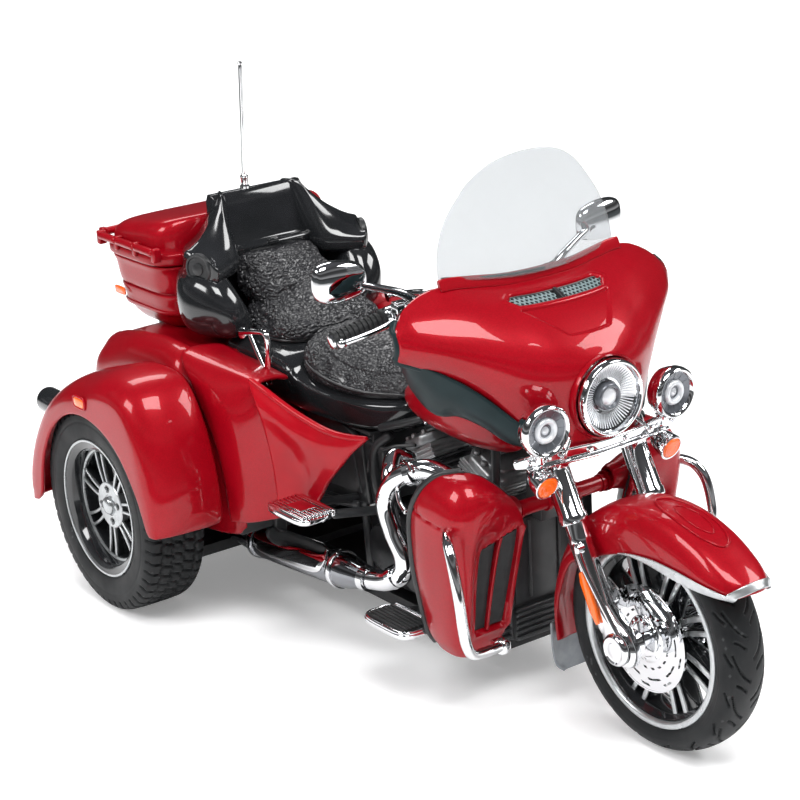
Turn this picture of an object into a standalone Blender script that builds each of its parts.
# Three-wheeled touring motorcycle, 1:12 scale radio control model.
# Front of the machine faces -Y, its right side faces -X, +Z is up.
# Origin: on the ground, on the centre plane, at the middle of the overall length.
# Lengths below are millimetres, measured from midway between the axles;
# MM turns them into metres and CENTRE_Y moves them to the origin.
import bpy
import bmesh
from math import pi, sin, cos, radians, atan2, copysign
from mathutils import Vector, Matrix

MM = 0.001
CENTRE_Y = 6.5            # middle of the overall length, from midway between the axles
SIDES = ((-1, "right"), (1, "left"))

# ---------------------------------------------------------------- dimensions
WHEELBASE = 145.8
FRONT_Y = -WHEELBASE / 2
REAR_Y = WHEELBASE / 2
FRONT_R = 25.5            # front tyre radius
FRONT_HALF_W = 5.6        # front tyre half width
REAR_R = 26.5             # rear tyre radius
REAR_OUT = 55.4           # outer face of a rear tyre
REAR_IN = 39.2            # inner face of a rear tyre
RIM_FRONT_R = 19.35
RIM_REAR_R = 17.4
RIM_LAP = 0.5             # tyre bore radius beyond the rim radius
WHEEL_SEG = 28
SPOKE_COUNT = 5
FRONT_HUB = (FRONT_Y, FRONT_R)          # y, z of the front axle
REAR_HUB = (REAR_Y, REAR_R)             # y, z of the rear axle
AXLE_R = 2.0              # rear axle radius
AXLE_HOLE_R = 2.35        # hole for it in the rims and bearings

RAKE = radians(27.5)      # fork rake
STEER = Vector((0, -46.9, 58.7))             # a point on the steering axis
STEER_UP = Vector((0, sin(RAKE), cos(RAKE)))     # along the steering axis, upwards
STEER_BACK = Vector((0, cos(RAKE), -sin(RAKE)))  # square to it, rearwards
TUBE_X = 10.8             # fork leg distance from the centre plane
TUBE_BACK = -4.4          # fork legs sit ahead of the steering axis
TUBE_R = 1.7
SLIDER_R = 2.7
SLIDER_FOOT = -38.5       # slider ends, measured along the steering axis
SLIDER_TOP = -14.3

GEAR_M = 0.8              # gear module
AXLE_TEETH, IDLER_TEETH, PINION_TEETH = 24, 16, 10
IDLER_YZ = (REAR_Y - 15.7, REAR_R + 5.3)
PINION_YZ = (IDLER_YZ[0] - 10.2, IDLER_YZ[1] + 3.9)
# Corners of one tooth: angle as a share of the tooth pitch, radius from the pitch circle.
TOOTH = ((-0.28, -0.85), (-0.09, 0.36), (0.09, 0.36), (0.28, -0.85))

ARM = 7.0                 # steering arm and servo horn length
SERVO_BACK = 19.0         # servo shaft distance behind the steering axis

# --------------------------------------------------------------------- scene
for old in list(bpy.data.objects):
    bpy.data.objects.remove(old, do_unlink=True)
PARTS = bpy.data.collections.new("touring_trike")
bpy.context.scene.collection.children.link(PARTS)
TEMP = bpy.data.collections.new("construction")
bpy.context.scene.collection.children.link(TEMP)


# ----------------------------------------------------------------- materials
def material(name, colour, roughness, metallic=0.0):
    mat = bpy.data.materials.new(name)
    mat.use_nodes = True
    inputs = mat.node_tree.nodes["Principled BSDF"].inputs
    inputs["Base Color"].default_value = (*colour, 1)
    inputs["Roughness"].default_value = roughness
    inputs["Metallic"].default_value = metallic
    mat.diffuse_color = (*colour, 1)
    return mat


RED = material("candy_red", (0.30, 0.004, 0.012), roughness=0.15)
BLACK = material("gloss_black", (0.012, 0.012, 0.013), roughness=0.2)
SATIN = material("satin_black", (0.02, 0.02, 0.022), roughness=0.5)
LEATHER = material("black_vinyl", (0.016, 0.016, 0.017), roughness=0.45)
RUBBER = material("tyre_rubber", (0.02, 0.02, 0.02), roughness=0.75)
CHROME = material("chrome", (0.8, 0.8, 0.82), roughness=0.06, metallic=1.0)
SILVER = material("silver_paint", (0.55, 0.56, 0.58), roughness=0.3, metallic=0.8)
CLEAR = material("tinted_clear", (0.75, 0.82, 0.85), roughness=0.05)
LAMP = material("lamp_lens", (0.8, 0.8, 0.82), roughness=0.08)
REDLENS = material("red_lens", (0.35, 0.01, 0.01), roughness=0.1)
BRASS = material("gear_brass", (0.6, 0.42, 0.15), roughness=0.35, metallic=1.0)
BOARD = material("circuit_board", (0.01, 0.16, 0.05), roughness=0.5)
WRAP = material("battery_wrap", (0.03, 0.09, 0.35), roughness=0.4)


# -------------------------------------------------------------- point helpers
def span(centre, half):
    return (centre - half, centre + half)


def at_side(side, points):
    """Points given for the left, moved to the right when side is -1."""
    return [(side * x, y, z) for x, y, z in points]


def across(side, inner, outer):
    """Rising x range of something given by its distances from the centre plane."""
    return sorted((side * inner, side * outer))


def mirrored(row):
    """Points given for x >= 0, centre first, completed over the centre plane."""
    return at_side(-1, row[:0:-1]) + list(row)


def raked(x, back, up):
    """Point given square to the steering axis and along it."""
    return STEER + Vector((x, 0, 0)) + STEER_BACK * back + STEER_UP * up


def squircle(count, power):
    """Points of a unit rounded square; a higher power gives squarer corners."""
    points = []
    for i in range(count):
        angle = 2 * pi * (i + 0.5) / count
        points.append([copysign(abs(v) ** (2 / power), v) for v in (cos(angle), sin(angle))])
    return points


def upright_ring(y, half_w, low, high, count, power):
    return [(half_w * across_, y, (low + high) / 2 + (high - low) / 2 * up)
            for across_, up in squircle(count, power)]


def flat_ring(z, xs, ys, count, power):
    return [((xs[0] + xs[1]) / 2 + (xs[1] - xs[0]) / 2 * across_,
             (ys[0] + ys[1]) / 2 + (ys[1] - ys[0]) / 2 * along, z)
            for across_, along in squircle(count, power)]


def smooth_path(points, steps):
    """Catmull-Rom points through the control points."""
    knots = [Vector(p) for p in points]
    path = []
    for i in range(len(knots) - 1):
        start, end = knots[i], knots[i + 1]
        before = knots[i - 1] if i else start * 2 - end
        after = knots[i + 2] if i + 2 < len(knots) else end * 2 - start
        for k in range(steps):
            t = k / steps
            path.append(0.5 * ((2 * start) + (end - before) * t
                               + (2 * before - 5 * start + 4 * end - after) * t * t
                               + (3 * start - before - 3 * end + after) * t ** 3))
    path.append(knots[-1])
    return path


# -------------------------------------------------------------- solid helpers
def finish(mesh):
    """Turn a bmesh into a construction object."""
    bmesh.ops.remove_doubles(mesh, verts=mesh.verts, dist=1e-7)
    bmesh.ops.recalc_face_normals(mesh, faces=mesh.faces)
    data = bpy.data.meshes.new("solid")
    mesh.to_mesh(data)
    mesh.free()
    return construction("solid", data)


def construction(name, data):
    obj = bpy.data.objects.new(name, data)
    TEMP.objects.link(obj)
    return obj


def evaluated(obj):
    bpy.context.view_layer.update()
    graph = bpy.context.evaluated_depsgraph_get()
    return bpy.data.meshes.new_from_object(obj.evaluated_get(graph))


def place(mesh, centre, turn=None):
    """Turn a bmesh about its own origin, then move it to centre."""
    if turn:
        bmesh.ops.rotate(mesh, cent=(0, 0, 0), matrix=turn, verts=mesh.verts)
    bmesh.ops.translate(mesh, vec=Vector(centre) * MM, verts=mesh.verts)
    return finish(mesh)


def block(*size):
    mesh = bmesh.new()
    bmesh.ops.create_cube(mesh, size=1.0)
    bmesh.ops.scale(mesh, vec=[length * MM for length in size], verts=mesh.verts)
    return mesh


def box(x, y, z, bevel=0.0):
    mesh = block(x[1] - x[0], y[1] - y[0], z[1] - z[0])
    if bevel:
        bmesh.ops.bevel(mesh, geom=mesh.edges[:], offset=bevel * MM, segments=1, affect='EDGES')
    return place(mesh, Vector((x[0] + x[1], y[0] + y[1], z[0] + z[1])) * 0.5)


def tilted(x, back, up):
    """Box in the raked frame: back from the steering axis, up along it."""
    mesh = block(x[1] - x[0], back[1] - back[0], up[1] - up[0])
    centre = raked((x[0] + x[1]) / 2, (back[0] + back[1]) / 2, (up[0] + up[1]) / 2)
    return place(mesh, centre, Matrix.Rotation(-RAKE, 3, 'X'))


def rod(start, end, radius, segments, end_radius=None):
    start, end = Vector(start), Vector(end)
    run = end - start
    mesh = bmesh.new()
    bmesh.ops.create_cone(mesh, cap_ends=True, segments=segments, radius1=radius * MM,
                          radius2=(end_radius or radius) * MM, depth=run.length * MM)
    turn = Vector((0, 0, 1)).rotation_difference(run.normalized()).to_matrix()
    return place(mesh, (start + end) * 0.5, turn)


def x_rod(xs, centre_yz, radius, segments):
    return rod((xs[0], *centre_yz), (xs[1], *centre_yz), radius, segments)


def raked_rod(x, back, ups, radius, segments):
    return rod(raked(x, back, ups[0]), raked(x, back, ups[1]), radius, segments)


def side_rods(side, table):
    """Rods from rows of start, end, radius, segments and any end radius."""
    return [rod(*at_side(side, (start, end)), *sizes) for start, end, *sizes in table]


def turned(half_profile, centre):
    """Half (x, radius) outline, mirrored in x, spun about the X axis through centre."""
    profile = half_profile + [(-x, radius) for x, radius in reversed(half_profile)]
    mesh = bmesh.new()
    half_step = pi / WHEEL_SEG    # puts a flat, not a corner, on the ground
    verts = [mesh.verts.new((x * MM, -radius * sin(half_step) * MM, -radius * cos(half_step) * MM))
             for x, radius in profile]
    edges = [mesh.edges.new((verts[i], verts[(i + 1) % len(verts)])) for i in range(len(verts))]
    bmesh.ops.spin(mesh, geom=verts + edges, cent=(0, 0, 0), axis=(1, 0, 0), angle=2 * pi,
                   steps=WHEEL_SEG, use_merge=True)
    bmesh.ops.remove_doubles(mesh, verts=mesh.verts, dist=1e-6)
    return place(mesh, centre)


def spokes(centre, inner, outer, thickness, width):
    solids = []
    for k in range(SPOKE_COUNT):
        mesh = block(thickness, width, outer - inner)
        bmesh.ops.translate(mesh, vec=Vector((0, 0, (inner + outer) / 2)) * MM, verts=mesh.verts)
        solids.append(place(mesh, centre, Matrix.Rotation(2 * pi * k / SPOKE_COUNT, 3, 'X')))
    return solids


def loft(sections):
    """Closed rings of equal count joined into a solid with flat ends."""
    mesh = bmesh.new()
    rings = [[mesh.verts.new(Vector(p) * MM) for p in section] for section in sections]
    count = len(rings[0])
    for ring, following in zip(rings, rings[1:]):
        for i in range(count):
            k = (i + 1) % count
            mesh.faces.new((ring[i], ring[k], following[k], following[i]))
    mesh.faces.new(rings[0])
    mesh.faces.new(rings[-1])
    bmesh.ops.triangulate(mesh, faces=[face for face in mesh.faces if len(face.verts) > 4])
    return finish(mesh)


def tube(points, radius, steps, resolution=2):
    """Round tube along a smoothed path, with steps pieces between control points."""
    curve = bpy.data.curves.new("tube", 'CURVE')
    curve.dimensions = '3D'
    curve.bevel_depth = radius * MM
    curve.bevel_resolution = resolution
    curve.use_fill_caps = True
    curve.render_resolution_u = 0
    path = smooth_path(points, steps)
    spline = curve.splines.new('POLY')
    spline.points.add(len(path) - 1)
    for target, p in zip(spline.points, path):
        target.co = (p.x * MM, p.y * MM, p.z * MM, 1)
    obj = construction("tube", curve)
    data = evaluated(obj)
    bpy.data.objects.remove(obj, do_unlink=True)
    mesh = bmesh.new()
    mesh.from_mesh(data)
    bmesh.ops.remove_doubles(mesh, verts=mesh.verts, dist=1e-6)
    return finish(mesh)


def sheet(grid, thickness, flip=False):
    """Open surface through a grid of points, made solid by its thickness."""
    mesh = bmesh.new()
    rows = [[mesh.verts.new(Vector(p) * MM) for p in row] for row in grid]
    for row, following in zip(rows, rows[1:]):
        for i in range(len(row) - 1):
            face = (row[i], row[i + 1], following[i + 1], following[i])
            mesh.faces.new(face[::-1] if flip else face)
    data = bpy.data.meshes.new("sheet")
    mesh.to_mesh(data)
    mesh.free()
    obj = construction("sheet", data)
    mod = obj.modifiers.new("solid", 'SOLIDIFY')
    mod.thickness = thickness * MM
    mod.offset = -1.0
    mod.use_even_offset = True
    return obj


def gear(teeth, centre_yz, xs, phase=0.0):
    pitch_radius = GEAR_M * teeth / 2
    step = 2 * pi / teeth
    points = []
    for k in range(teeth):
        for share, offset in TOOTH:
            angle = 2 * pi * k / teeth + phase + share * step
            radius = pitch_radius + offset
            points.append((centre_yz[0] + radius * cos(angle), centre_yz[1] + radius * sin(angle)))
    return loft([[(x, *p) for p in points] for x in xs])


def mesh_phase(driver_yz, driver_teeth, driver_phase, driven_yz, driven_teeth):
    """Phase of the driven gear whose teeth fall between those of the driver."""
    bearing = atan2(driven_yz[1] - driver_yz[1], driven_yz[0] - driver_yz[0])
    arc = GEAR_M * driver_teeth / 2 * (driver_phase - bearing) + pi * GEAR_M / 2
    return bearing + pi - arc / (GEAR_M * driven_teeth / 2)


def piece(name, mat, solids, cuts=(), origin=(0, 0, 0)):
    """One named part: the union of its solids less the cuts."""
    base = solids[0]
    for operation, group in (('UNION', solids[1:]), ('DIFFERENCE', cuts)):
        for other in group:
            mod = base.modifiers.new(operation.lower(), 'BOOLEAN')
            mod.operation = operation
            mod.solver = 'EXACT'
            mod.object = other
    data = evaluated(base)
    for used in (*solids, *cuts):
        bpy.data.objects.remove(used, do_unlink=True)
    mesh = bmesh.new()
    mesh.from_mesh(data)
    bmesh.ops.remove_doubles(mesh, verts=mesh.verts, dist=2e-6)
    bmesh.ops.dissolve_degenerate(mesh, edges=mesh.edges, dist=2e-6)
    bmesh.ops.recalc_face_normals(mesh, faces=mesh.faces)
    place_at = Vector(origin) * MM
    bmesh.ops.translate(mesh, vec=-place_at, verts=mesh.verts)
    data.clear_geometry()
    mesh.to_mesh(data)
    mesh.free()
    data.name = name
    data.materials.clear()
    data.materials.append(mat)
    data.shade_smooth()
    data.set_sharp_from_angle(angle=radians(35))
    obj = bpy.data.objects.new(name, data)
    obj.location = place_at - Vector((0, CENTRE_Y, 0)) * MM
    PARTS.objects.link(obj)


# ================================================================ front wheel
FRONT_CENTRE = (0, *FRONT_HUB)
FRONT_CORNER_R = FRONT_R / cos(pi / WHEEL_SEG)    # flats of the tread lie at FRONT_R
piece("front_tyre", RUBBER, [turned([
    (1.6, FRONT_CORNER_R), (4.3, FRONT_CORNER_R - 1.4), (FRONT_HALF_W, FRONT_CORNER_R - 3.6),
    (4.6, RIM_FRONT_R + RIM_LAP)], FRONT_CENTRE)], origin=FRONT_CENTRE)

# Rim with a hub, a disc on each side and spokes.
piece("front_rim", SILVER, [
    turned([(4.3, RIM_FRONT_R), (4.3, 17.6), (3.0, 17.0)], FRONT_CENTRE),
    x_rod((-6.2, 6.2), FRONT_HUB, 4.2, 14),
    x_rod((4.7, 5.5), FRONT_HUB, 11.5, 24),
    x_rod((-5.5, -4.7), FRONT_HUB, 11.5, 24),
    *spokes(FRONT_CENTRE, inner=3.0, outer=17.3, thickness=4.4, width=3.2),
], [x_rod((-8, 8), FRONT_HUB, 2.0, 12)], origin=FRONT_CENTRE)

# ====================================================== lower fork (unsprung)
FORK_FOOT = raked(0, TUBE_BACK, SLIDER_FOOT)

# Slider, axle lug, axle end and a small block inboard on each side, plus the axle.
sliders, bores = [], []
for side, _ in SIDES:
    leg_x = side * TUBE_X
    sliders += [
        raked_rod(leg_x, TUBE_BACK, (SLIDER_FOOT, SLIDER_TOP), SLIDER_R, 14),
        box(x=span(leg_x, 2.4), y=(FRONT_Y - 3.2, FRONT_Y + 6.5), z=span(FRONT_R, 4.2), bevel=0.8),
        x_rod((side * 12.4, side * 14.6), FRONT_HUB, 3.0, 12),
        box(x=across(side, 6.3, 9.5), y=(FRONT_Y + 7.2, FRONT_Y + 12.6),
            z=(FRONT_R + 4.6, FRONT_R + 10.6), bevel=0.5)]
    bores.append(raked_rod(leg_x, TUBE_BACK, (SLIDER_TOP - 9, SLIDER_TOP + 1), TUBE_R + 0.4, 14))
sliders.append(x_rod((-12.6, 12.6), FRONT_HUB, 1.6, 12))
piece("fork_sliders", CHROME, sliders, bores, origin=FORK_FOOT)

# Degrees forward of the wheel's top, crown radius, edge radius, half width.
FRONT_FENDER = (
    (56, 32.8, 28.6, 4.6), (46, 31.4, 24.5, 7.0), (30, 30.0, 20.4, 7.7), (12, 29.2, 18.9, 7.75),
    (-8, 29.0, 18.7, 7.75), (-26, 29.0, 18.8, 7.75), (-46, 29.0, 20.2, 7.75),
    (-64, 29.0, 25.0, 7.5), (-84, 29.3, 26.6, 7.0), (-106, 30.2, 28.2, 6.6),
    (-127, 32.4, 31.2, 6.4))


def front_fender_row(degrees, crown, edge, half_w):
    angle = radians(degrees)
    section = ((0, crown), (half_w * 0.62, crown - 0.9),
               (half_w * 0.95, crown - 0.45 * (crown - edge) - 0.4), (half_w, edge))
    return mirrored([(x, FRONT_Y - radius * sin(angle), FRONT_R + radius * cos(angle))
                     for x, radius in section])


piece("front_fender", RED, [sheet([front_fender_row(*row) for row in FRONT_FENDER], 0.9)],
      origin=FORK_FOOT)

# ======================================================= upper fork and fairing
# Two clamps with bosses, the steering stem, the steering arm and the fork tubes.
CLAMPS = ((0.5, 3.5), (18.4, 21.4))    # bottom and top of each, along the steering axis
piece("triple_clamp", CHROME, [
    *[tilted(x=span(0, 13.2), back=(TUBE_BACK - 2.6, -1.4), up=clamp) for clamp in CLAMPS],
    *[raked_rod(0, 0, (low - 0.2, high + 0.2), 3.4, 12) for low, high in CLAMPS],
    raked_rod(0, 0, (1.0, 21.0), 2.1, 16),
    tilted(x=(-0.7, ARM + 1.3), back=(-1.27, 1.23), up=(14.63, 16.04)),
    *[raked_rod(side * TUBE_X, TUBE_BACK, (SLIDER_TOP - 3.5, 22.0), TUBE_R, 12)
      for side, _ in SIDES]], origin=STEER)

# Surface tables below hold rows from the top down, each from the centre plane outwards.
HEADLIGHT_Z = 73.3
FAIRING = (
    ((0, -34.5, 95.4), (8, -34.2, 95.7), (16, -33.2, 96.4),
     (22, -32.2, 97.0), (25, -31.5, 96.6), (26.8, -31.0, 95.6)),
    ((0, -44.5, 91.5), (9, -43.5, 91.3), (18, -41, 91.2),
     (26, -37.5, 91.5), (32, -35, 91.8), (35, -33.8, 91.5)),
    ((0, -51.5, 86.5), (9, -50.3, 86), (18, -46.8, 85.3),
     (26, -42.3, 85.5), (33, -37.6, 87.5), (36.7, -34.6, 88.6)),
    ((0, -55.8, 82.3), (9, -54.2, 80.3), (17, -50.8, 79),
     (24.5, -45.6, 79), (31, -39.6, 80.8), (35.6, -35, 83.5)),
    ((0, -56.6, 74), (9.5, -55.0, 73.5), (15, -51.0, 72.5),
     (21.5, -46.8, 72.5), (27.5, -41.5, 75), (32, -36.5, 78.5)),
    ((0, -55.8, 64.2), (6, -55.4, 64.4), (12.2, -52.8, 65.0),
     (17.5, -49, 67.2), (22.5, -44, 70.5), (28, -38.5, 74.5)))
piece("fairing", RED, [sheet([mirrored(row) for row in FAIRING], 1.1)],
      [rod((0, -62, HEADLIGHT_Z), (0, -44, HEADLIGHT_Z), 8.75, 24)], origin=STEER)

INNER_PANEL = (
    ((0, -32.2, 94.0), (8, -32.0, 94.2), (16, -31.2, 94.8), (22.5, -30.6, 95.2)),
    ((0, -31.2, 90.0), (9, -30.6, 90.0), (19, -30.4, 89.8), (30.5, -31.6, 89.0)),
    ((0, -31.0, 86.4), (10, -30.4, 86.4), (20, -30.6, 85.0), (31.5, -33.2, 84.6)))
INNER_SKIRT = (    # left side
    ((16.5, -31.3, 87.1), (24, -31.9, 86.7), (31.2, -33.2, 86.1)),
    ((17.5, -34.0, 78.0), (23, -34.5, 77.0), (29.2, -35.6, 77.8)),
    ((16.8, -39.6, 69.6), (20, -40.4, 70.2), (24.0, -40.6, 73.2)))
piece("inner_fairing", BLACK, [
    sheet([mirrored(row) for row in INNER_PANEL], 1.2, flip=True),
    *[sheet([at_side(side, row) for row in INNER_SKIRT], 1.2, flip=side > 0)
      for side, _ in SIDES]], origin=STEER)

WINDSHIELD = (
    ((0, -32.7, 122.0), (5, -32.5, 121.6), (10, -31.9, 120.2), (14.5, -31.0, 117.4)),
    ((0, -33.6, 115.0), (7, -33.2, 115.0), (14, -32.0, 114.4), (19.2, -30.4, 112.4)),
    ((0, -35.0, 106.0), (8, -34.5, 106.0), (16, -33.2, 105.8), (22.4, -31.2, 105.4)),
    ((0, -36.6, 96.4), (8, -36.1, 96.7), (16, -34.8, 97.5), (23.6, -32.4, 98.4)))
piece("windshield", CLEAR, [sheet([mirrored(row) for row in WINDSHIELD], 0.9)], origin=STEER)

# Lens and the tapered shell behind it.
piece("headlight", LAMP, [
    rod((0, -57.8, HEADLIGHT_Z), (0, -55.6, HEADLIGHT_Z), 8.3, 24),
    rod((0, -55.8, HEADLIGHT_Z), (0, -50.4, HEADLIGHT_Z), 6.6, 20, 5.0)], origin=STEER)

LAMP_BAR = ((0, -54.8, 62.0), (10, -54.4, 62.0), (20.8, -52.6, 62.4))
LAMP_RODS = (    # start, end, radius, segments, end radius; left side
    ((17.6, -58.4, 70.2), (17.4, -55.6, 70.3), 5.7, 20),         # upper lamp
    ((17.5, -56.0, 70.3), (17.5, -53.9, 70.4), 4.8, 16, 3.4),    # its tapered back
    ((17.2, -54.0, 61.6), (17.3, -55.0, 68.5), 1.0, 8),          # its post
    ((17.2, -56.6, 57.7), (17.0, -51.2, 59.6), 2.9, 14),         # lower lamp
    ((17.0, -53.4, 58.5), (17.0, -53.4, 62.4), 1.1, 8))          # its post
piece("lamp_bar", CHROME, [tube(mirrored(LAMP_BAR), 1.1, 2), *side_rods(-1, LAMP_RODS),
                           *side_rods(1, LAMP_RODS)], origin=STEER)

HANDLEBAR = ((0, -35.6, 80.6), (7, -34.6, 81.8), (11.5, -29, 84.6), (15, -22, 87.0),
             (19.5, -14.5, 87.6), (24.5, -10.9, 85.9))
GRIP = ((23.5, -11.2, 86.1), (36, -8.6, 83.0))
LEVER = ((22.5, -13.0, 86.6), (25.5, -15.2, 85.8), (34, -13.6, 83.4))
bar_solids = [tube(mirrored(HANDLEBAR), 1.2, 2)]
for side, _ in SIDES:
    bar_solids += [rod(*at_side(side, GRIP), 2.1, 12),
                   tube(at_side(side, LEVER), 0.6, 2, resolution=1)]
piece("handlebar", SATIN, bar_solids, origin=STEER)

MIRROR_STALK = ((19.6, -16.5, 90.2), (23, -16.2, 92.4), (29, -14.2, 94.8), (33, -13, 96.2))


def mirror_head(side):
    mesh = bmesh.new()
    bmesh.ops.create_uvsphere(mesh, u_segments=12, v_segments=8, radius=1.0)
    bmesh.ops.scale(mesh, vec=(6.4 * MM, 2.6 * MM, 4.6 * MM), verts=mesh.verts)
    return place(mesh, (side * 36, -12.4, 97.0))


for side, name in SIDES:
    stalk = at_side(side, MIRROR_STALK)
    piece("mirror_" + name, CHROME, [tube(stalk, 0.8, 2), mirror_head(side)], origin=stalk[0])

# ============================================================ frame and floor
# Three floor plates, the idler's support and a bearing block for each end of the axle.
piece("chassis_tray", SATIN, [
    box(x=span(0, 13), y=(-30, 50), z=(9, 12)),
    box(x=span(0, 12.4), y=(46, 64), z=(9.4, 13.8)),
    box(x=span(0, 34.0), y=(60, 103), z=(11.5, 14.2)),
    box(x=(7.3, 9.9), y=span(IDLER_YZ[0], 4), z=(12.6, IDLER_YZ[1] + 4)),
    *[box(x=across(side, 30, 33.5), y=span(REAR_Y, 6), z=(13.2, REAR_R + 5.5), bevel=0.6)
      for side, _ in SIDES]],
    [x_rod((-40, 40), REAR_HUB, AXLE_HOLE_R, 12),
     x_rod((6, 11), IDLER_YZ, 1.55, 12),
     box(x=(-18.4, -13.6), y=(62, 70), z=(10, 18))])    # switch opening

# Rear y and z, front y and z of the post that carries the steering head.
NECK_HALF_W = 2.8
NECK_POST = ((-30.6, 40, -36.4, 40), (-31.6, 52, -36.4, 52),
             (-35.0, 60, -39.6, 57.5), (-35.2, 66.0, -40.5, 63.2))
neck = loft([[(-NECK_HALF_W, rear_y, rear_z), (NECK_HALF_W, rear_y, rear_z),
              (NECK_HALF_W, front_y, front_z), (-NECK_HALF_W, front_y, front_z)]
             for rear_y, rear_z, front_y, front_z in NECK_POST])
piece("front_frame", SATIN, [
    box(x=span(0, 10), y=(-33.2, -28.7), z=(12.4, 43.5), bevel=0.6),
    box(x=span(0, 9), y=(-34.4, -29), z=(12.4, 20), bevel=0.4), neck,
    raked_rod(0, 0, (4.0, 13.4), 4.8, 16)],
    [raked_rod(0, 0, (2, 16), 2.5, 16)])

# =========================================================== rear wheels, axle
REAR_CORNER_R = REAR_R / cos(pi / WHEEL_SEG)      # flats of the tread lie at REAR_R
REAR_MID = (REAR_OUT + REAR_IN) / 2
REAR_HALF_W = (REAR_OUT - REAR_IN) / 2
REAR_RIM_HALF_W = 7.0
for side, name in SIDES:
    wheel_x = side * REAR_MID
    centre = (wheel_x, *REAR_HUB)
    piece("rear_tyre_" + name, RUBBER, [turned([
        (6.4, REAR_CORNER_R), (REAR_HALF_W, REAR_CORNER_R - 2.2),
        (REAR_HALF_W, REAR_CORNER_R - 6), (REAR_RIM_HALF_W, RIM_REAR_R + RIM_LAP)],
        centre)], origin=centre)
    piece("rear_rim_" + name, SILVER, [
        turned([(REAR_RIM_HALF_W, RIM_REAR_R), (REAR_RIM_HALF_W, RIM_REAR_R - 1.6)], centre),
        x_rod(span(wheel_x, 2.5), REAR_HUB, 5.4, 14),
        *spokes(centre, inner=3.5, outer=RIM_REAR_R - 0.8, thickness=2.8, width=3.8),
    ], [x_rod(span(wheel_x, 9), REAR_HUB, AXLE_HOLE_R, 12)], origin=centre)
piece("rear_axle", BRASS, [x_rod((-50.5, 50.5), REAR_HUB, AXLE_R, 12),
                           gear(AXLE_TEETH, REAR_HUB, (3.0, 6.0))], origin=(0, *REAR_HUB))

# ================================================================= gear train
GEAR_X = 4.5              # middle plane of the gears
IDLER_PHASE = mesh_phase(REAR_HUB, AXLE_TEETH, 0.0, IDLER_YZ, IDLER_TEETH)
PINION_PHASE = mesh_phase(IDLER_YZ, IDLER_TEETH, IDLER_PHASE, PINION_YZ, PINION_TEETH)
piece("idler_gear", BRASS, [gear(IDLER_TEETH, IDLER_YZ, (3.3, 5.7), IDLER_PHASE),
                            x_rod((2.0, 9.6), IDLER_YZ, 1.2, 12)], origin=(GEAR_X, *IDLER_YZ))
piece("motor_pinion", BRASS, [gear(PINION_TEETH, PINION_YZ, (3.0, 6.0), PINION_PHASE),
                              x_rod((-6.0, 7.0), PINION_YZ, 0.9, 10)],
      origin=(GEAR_X, *PINION_YZ))
piece("drive_motor", SILVER, [x_rod((-22, 0.5), PINION_YZ, 5.4, 16),
                              x_rod((0, 2.2), PINION_YZ, 2.6, 12)],
      [x_rod((-8, 3), PINION_YZ, 1.25, 12)])

# ==================================================================== engine
piece("engine_crankcase", SATIN, [
    box(x=span(0, 11), y=(-26.8, 19), z=(12.5, 31.0), bevel=1.5),
    x_rod((-13.5, 13.5), (-2, 23), 8.2, 18), x_rod((-12.8, 12.8), (-17, 20), 5.5, 14)])
# Two cylinders in a V with a head on each, trimmed just above the crankcase.
piece("engine_cylinders", SILVER, [
    rod((0, -11.5, 28), (0, -20.4, 46.5), 7.2, 14), rod((0, -9.5, 28), (0, 0.5, 46.5), 7.2, 14),
    box(x=span(0, 9), y=(-28.8, -15.4), z=(45.4, 51.2), bevel=1.2),
    box(x=span(0, 9), y=(-5.2, 7.6), z=(45.4, 51.2), bevel=1.2)],
    [box(x=span(0, 20), y=(-40, 30), z=(15, 31.35))])

# y, half width, bottom z, top z.
FUEL_TANK = ((-38.5, 8.0, 60.5, 68.5), (-35, 11.2, 58.0, 71.2), (-26, 13.6, 56.4, 72.6),
             (-14, 14.2, 56.0, 72.6), (-6, 12.6, 56.8, 70.8), (-1.2, 9.8, 58.5, 68.5))
piece("fuel_tank", RED, [loft([upright_ring(*row, 14, 2.5) for row in FUEL_TANK])],
      [box(x=span(0, 9.2), y=(-45, -15.3), z=(50, 69.4)),      # hollow, open below
       box(x=span(0, 5.9), y=(-46, -34.1), z=(51, 81))])       # notch in the front end

EXHAUST_HEADER = (
    (-13.2, -25.2, 45.2), (-15.4, -21.8, 49.2), (-18.2, -15.4, 50.9), (-21, -8.4, 47.6),
    (-22, -4.8, 41.4), (-21.6, -7.4, 34.4), (-21.4, -10.2, 29), (-21.9, -8.4, 24.2),
    (-23.2, -3.4, 21.8), (-23.8, 0.2, 21.2))
piece("exhaust_header", CHROME, [tube(EXHAUST_HEADER, 2.5, 3)])
MUFFLER_RODS = (    # start, end, radius, segments, end radius; left side
    ((24, 1.0, 21.1), (24, 10, 20.4), 2.8, 16, 4.3),
    ((24, 9.8, 20.4), (24, 47, 17.2), 4.3, 16),
    ((24, 46.8, 17.2), (24, 58, 16.4), 3.0, 14))
for side, name in SIDES:
    piece("muffler_" + name, CHROME, side_rods(side, MUFFLER_RODS))

# ====================================================== battery, radio, steering
piece("battery_pack", WRAP, [box(x=span(0, 12), y=(14, 38.5), z=(34, 50), bevel=1.0)])
piece("receiver_board", BOARD, [box(x=span(0, 18), y=(80, 96), z=(50, 51.6)),
                                box(x=span(0, 6), y=(84, 90), z=(48.2, 50.4))])
piece("steering_servo", SATIN, [
    tilted(x=span(0, 4), back=span(SERVO_BACK, 5.0), up=(5.4, 12.0)),
    raked_rod(0, SERVO_BACK, (11.5, 14.0), 2.4, 12)],
    [raked_rod(0, SERVO_BACK, (9, 15), 1.3, 12)])
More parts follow.
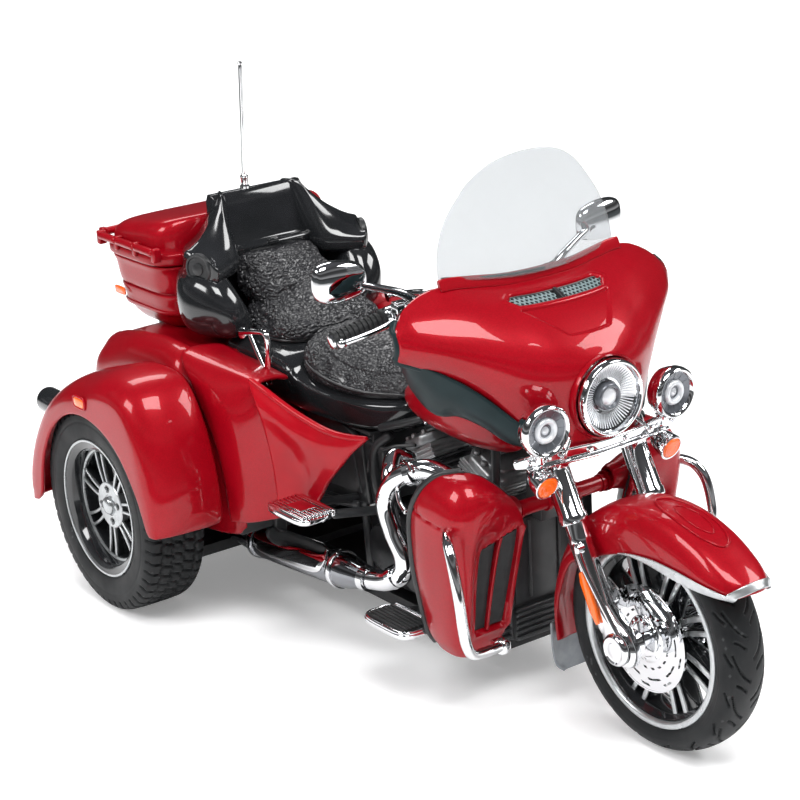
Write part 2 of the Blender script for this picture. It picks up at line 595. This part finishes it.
# Double-ended arm, round plate, hub and shaft.
piece("servo_horn", SILVER, [
    tilted(x=span(0, ARM + 1.3), back=(SERVO_BACK - 1.5, SERVO_BACK + 1.45), up=(14.6, 15.9)),
    raked_rod(0, SERVO_BACK, (14.65, 15.85), 6.0, 20),
    raked_rod(0, SERVO_BACK, (14.4, 16.1), 2.2, 12),
    raked_rod(0, SERVO_BACK, (10, 15), 0.95, 10)], origin=raked(0, SERVO_BACK, 15.3))
piece("steering_link", SILVER, [
    tilted(x=span(ARM, 0.9), back=(-1.3, SERVO_BACK + 1.3), up=(13.0, 14.2))],
    origin=raked(ARM, SERVO_BACK, 13.6))
piece("power_switch", SATIN, [box(x=(-17.6, -14.4), y=(63, 66), z=(10.4, 15.6), bevel=0.3)],
      origin=(-16, 64.5, 13))

# ====================================================================== seats
# y, half width, bottom z, top z.
SEAT_BASE = ((2.5, 10, 52.8, 56.8), (10, 14.5, 52.0, 57.0), (24, 17.2, 51.5, 57.0),
             (37.2, 17.5, 51.6, 57.2), (39.0, 18.5, 51.6, 63.0), (52, 19.5, 51.8, 64.5),
             (60, 19.5, 53.0, 66.0))
piece("seat_base", BLACK, [loft([upright_ring(*row, 12, 3.2) for row in SEAT_BASE])])
RIDER_SEAT = ((-0.8, 6.0, 62.5, 67.0), (4, 8.5, 58.0, 67.2), (12, 13.5, 57.5, 65.6),
              (22, 16.4, 57.5, 65.4), (31, 16.8, 57.6, 67.6), (36.6, 14.5, 58.4, 69.2),
              (38.4, 11, 61, 68.6))
piece("rider_seat", LEATHER, [loft([upright_ring(*row, 14, 2.6) for row in RIDER_SEAT])])

# z, half width, front y, back y.
BACKREST = ((66.6, 13.5, 42.5, 66.0), (69.4, 15.0, 41.0, 68.5), (71.4, 14.8, 52.5, 69.6),
            (75.0, 13.2, 59.5, 70.5), (79.2, 10.5, 65.5, 71.5))
piece("backrest_pad", LEATHER, [loft([flat_ring(z, span(0, half_w), ys, 14, 3.0)
                                      for z, half_w, *ys in BACKREST])])

# Pods each side: z, inner x, outer x, front y at inner x, front y at outer x, back y.
PODS = ((67.0, 15.6, 24.5, 58.5, 60.5, 77), (75.0, 15.6, 26.8, 60.0, 63.5, 79),
        (83.0, 15.0, 27.4, 66.0, 66.5, 79.6), (90.0, 12.0, 22.0, 71.0, 71.0, 79.8))
# Middle wedge: half width, front y, back y, z.
WEDGE = ((19, 72.6, 79.4, 80.2), (20, 67.8, 79.6, 86.0),
         (16.5, 71.0, 79.8, 92.5), (11.2, 75.8, 79.8, 97.3))
pods = [loft([at_side(side, ((inner, front_in, z), (inner, back, z),
                             (outer, back, z), (outer, front_out, z)))
              for z, inner, outer, front_in, front_out, back in PODS]) for side in (-1, 1)]
wedge = loft([[(-half_w, front, z), (half_w, front, z), (half_w, back, z), (-half_w, back, z)]
              for half_w, front, back, z in WEDGE])
piece("headrest_shell", BLACK, [wedge, *pods])
piece("antenna", CHROME, [
    rod((-2.6, 77.9, 97.7), (-2.6, 77.6, 101.5), 1.1, 10),
    tube([(-2.6, 77.8, 100.5), (-2.7, 76.8, 112), (-2.8, 75.4, 129.6)], 0.45, 1, resolution=1)])

# ====================================================================== trunk
LID_HINGE = (27.6, 96.0, 80.2)
# z, half width, front y, back y.
TRUNK = ((62.6, 20.5, 84.0, 107.0), (66.0, 23.5, 81.6, 109.5),
         (73.0, 25.2, 80.6, 111.4), (79.8, 26.0, 80.4, 112.2))
piece("tourpak_base", RED, [loft([flat_ring(z, span(0, half_w), ys, 16, 6.0)
                                  for z, half_w, *ys in TRUNK])],
      [box(x=span(0, 23), y=(83.2, 108.6), z=(67.6, 85))])


def sloped(ring, rise, drop, start, length):
    """Raise a flat ring, less a drop that grows rearwards from start."""
    return [(x, y, z + rise - drop * (y - start) / length) for x, y, z in ring]


piece("tourpak_lid", RED, [loft([
    flat_ring(80.15, span(0, 27.2), (80.3, 113.2), 16, 6.0),
    flat_ring(83.0, span(0, 27.0), (80.4, 113.0), 16, 6.0),
    sloped(flat_ring(88.0, span(0, 25.4), (80.6, 111.4), 16, 5.0), 2.0, 3.5, 80.6, 31),
    sloped(flat_ring(90.0, span(0, 21.5), (82.0, 107.5), 16, 4.0), 1.6, 4.0, 81.5, 28)])],
    [box(x=span(0, 23.6), y=(83.4, 109.6), z=(78, 84.6))], origin=LID_HINGE)

# ================================================================= rear bodywork
# y, half widths at the bottom, middle and top, bottom z, top z.
REAR_BODY = ((40.2, 35.5, 36.5, 30.0, 24, 50.8), (54, 37.4, 37.8, 35.0, 23, 50.8),
             (61.5, 37.8, 37.8, 37.0, 22, 51.6), (63.0, 37.8, 37.8, 37.0, 22, 61.0),
             (82, 37.8, 37.8, 37.0, 21, 62.0), (100, 36.8, 37.2, 35.0, 21, 60.5),
             (107, 33.5, 34.5, 31, 23, 56))


def body_section(y, bottom_w, middle_w, top_w, low, high):
    half = ((top_w - 3, y, high), (top_w, y, high - 1.5),
            (middle_w, y, (low + high) / 2), (bottom_w, y, low))
    return at_side(-1, half[::-1]) + list(half)


# Hollowed in two steps, with a slot on each side that lets the axle in from below.
piece("rear_body", RED, [loft([body_section(*row) for row in REAR_BODY])], [
    box(x=span(0, 34.0), y=(41.5, 104), z=(10, 46.5)),
    box(x=span(0, 33.0), y=(64.5, 99), z=(40, 58.0)),
    x_rod((-45, 45), REAR_HUB, 3.2, 12),
    box(x=span(0, 45), y=span(REAR_Y, 3.2), z=(10, REAR_R))])

# Degrees rearward of the wheel's top, crown radius, outer lip radius.
REAR_FENDER = (
    (-84, 36.0, 28.8), (-66, 37.2, 27.0), (-48, 40.5, 26.4), (-32, 42.8, 26.0),
    (-16, 38.6, 25.4), (2, 34.2, 25.2), (22, 32.4, 24.8), (44, 31.8, 24.0),
    (66, 32.2, 23.6), (84, 33.0, 24.2), (98, 33.6, 28.0))


def rear_fender_row(side, degrees, crown, lip):
    angle = radians(degrees)
    section = ((38.2, crown - 1.6), (44.0, crown), (51.0, crown - 0.8), (55.4, crown - 3.0),
               (57.2, max(crown - 5.6, lip + 1.6)), (57.2, lip))
    return [(side * x, REAR_Y + radius * sin(angle), REAR_R + radius * cos(angle))
            for x, radius in section]


# y, z outline, and the inner and outer face of the panel before it flares rearwards.
SIDE_PANEL = ((-1, 56.5), (9, 44.5), (16.5, 32.0), (27, 34.5),
              (32, 50.0), (37.6, 65.0), (28, 61.6), (14, 58.6))
PANEL_FACES = (25.4, 23.2)
GRAB_RAIL = ((22.3, 52, 69.4), (23.4, 44, 71.6), (23.6, 38, 71.4),
             (23.2, 39.5, 64.5), (22.0, 42.2, 59.0))
# z, inner x, outer x, front y, back y.
LOWER_COWL = ((15.6, 16.5, 27.0, -40.0, -27.2), (20, 15.2, 29.0, -41.4, -26.8),
              (32, 14.9, 31.0, -43.4, -26.8), (44, 14.9, 32.0, -45.6, -28.2),
              (52, 16.8, 32.0, -46.2, -31), (57, 19.5, 30.6, -45.2, -33.5),
              (60, 22.6, 28.2, -43, -36.5))
CRASH_BAR = ((33.9, -42.6, 50.8), (35.4, -46.8, 50.2), (36, -49.6, 46.8), (36, -51.4, 37),
             (35.8, -52.2, 28.4), (33.6, -50.6, 24.0), (27, -46.2, 19.8), (19.0, -43.6, 17.6))
# Name, hinge x, outer x, front y, back y, z.
FOOTBOARDS = (("rider", 24.3, 34.0, -25.6, -8.6, 18.0),
              ("passenger", 29.4, 39.2, 4.2, 20.6, 37.6))

for side, name in SIDES:
    piece("rear_fender_" + name, RED, [
        sheet([rear_fender_row(side, *row) for row in REAR_FENDER], 1.1, flip=side < 0)])
    piece("taillight_" + name, REDLENS, [
        rod((side * 47.5, 101.9, 46.8), (side * 47.5, 110.5, 46.0), 3.9, 14)])
    piece("side_panel_" + name, RED, [
        loft([[(side * (face + max(0, y - 10) * 0.2), y, z) for y, z in SIDE_PANEL]
              for face in PANEL_FACES])])
    piece("grab_rail_" + name, CHROME, [tube(at_side(side, GRAB_RAIL), 0.75, 2, resolution=1)])
    piece("lower_cowl_" + name, RED, [
        loft([at_side(side, flat_ring(z, (inner, outer), ys, 14, 2.8))
              for z, inner, outer, *ys in LOWER_COWL])],
        [box(x=across(side, 17.2, 28.5), y=(-38.5, -20), z=(20, 48))])
    piece("crash_bar_" + name, CHROME, [tube(at_side(side, CRASH_BAR), 1.25, 2)])
    for rank, hinge, outer, front, back, z in FOOTBOARDS:
        hinge_x = side * hinge
        piece(rank + "_footboard_" + name, CHROME, [
            box(x=across(side, hinge, outer), y=(front, back), z=(z - 0.8, z + 0.9), bevel=0.4),
            rod((hinge_x, front + 0.5, z), (hinge_x, back - 0.5, z), 1.0, 10)],
            origin=(hinge_x, (front + back) / 2, z))
piece("cowl_crossbar", RED, [x_rod((-14.4, 14.4), (-39.4, 46.2), 1.9, 14)])

bpy.data.collections.remove(TEMP)
